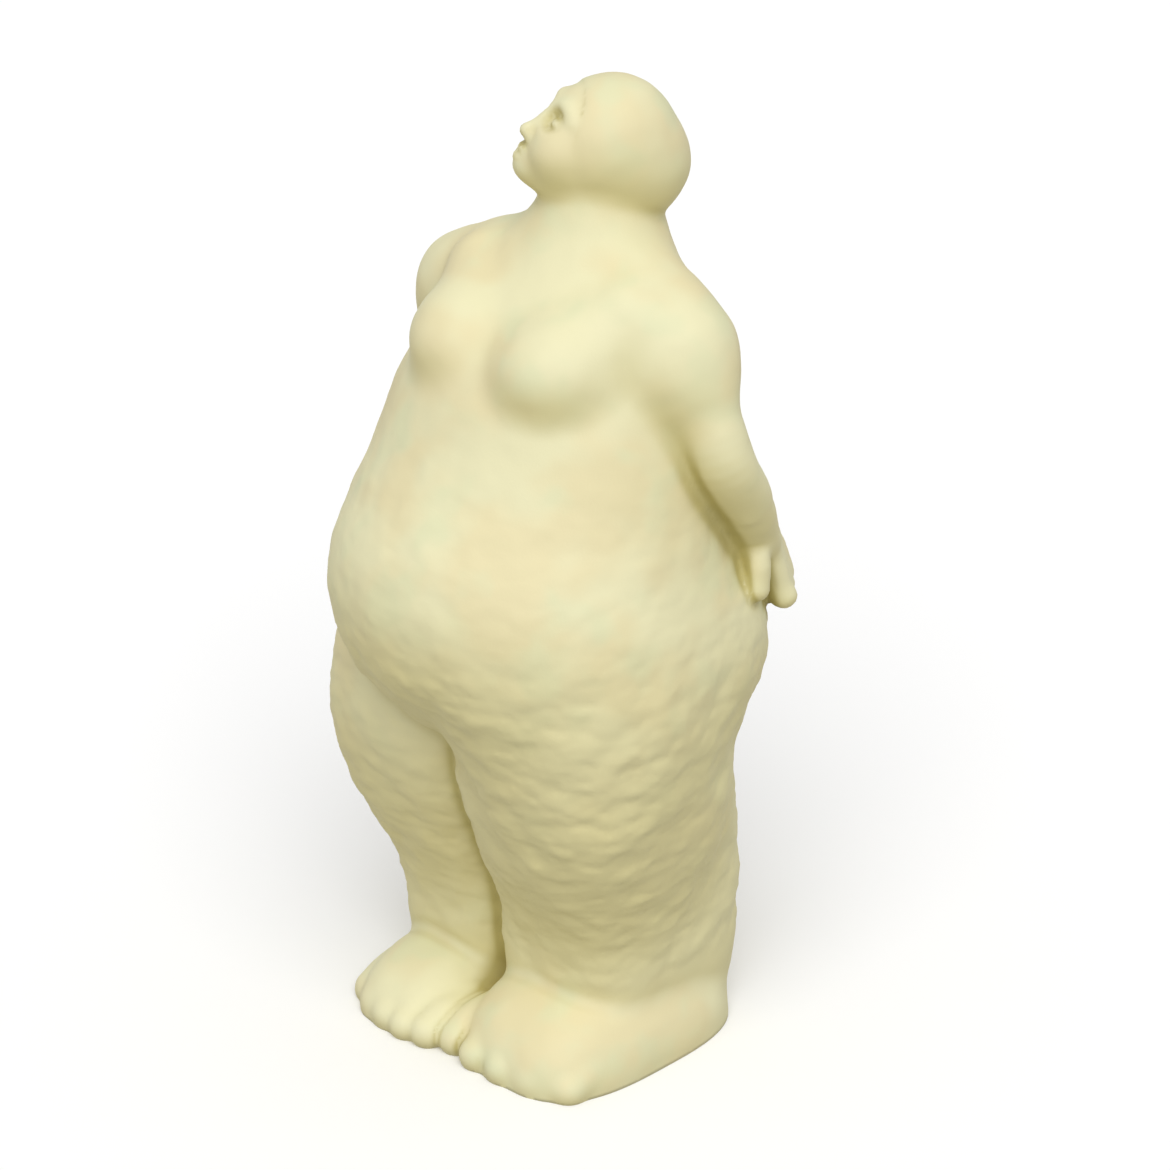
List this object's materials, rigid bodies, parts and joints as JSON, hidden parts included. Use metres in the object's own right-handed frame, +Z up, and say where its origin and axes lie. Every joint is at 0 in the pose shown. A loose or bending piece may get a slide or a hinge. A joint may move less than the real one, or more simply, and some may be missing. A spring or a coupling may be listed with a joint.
{
  "type": "female figurine",
  "caption": "Standing figurine of a plump woman with her hands on the back of her hips and her face turned up, cast in one piece with a flat underside.",
  "frame": {"origin": "on the flat underside, under the body, in the plane between her left and right sides", "axes": "+Z up, the figure looks along -Y, +X is her left side"},
  "size_m": [0.1571, 0.1484, 0.3475],
  "materials": {
    "casting": "matte cream coating over a hand-modelled surface"
  },
  "bodies": {
    "root": {"figurine": "casting"}
  },
  "joints": []
}
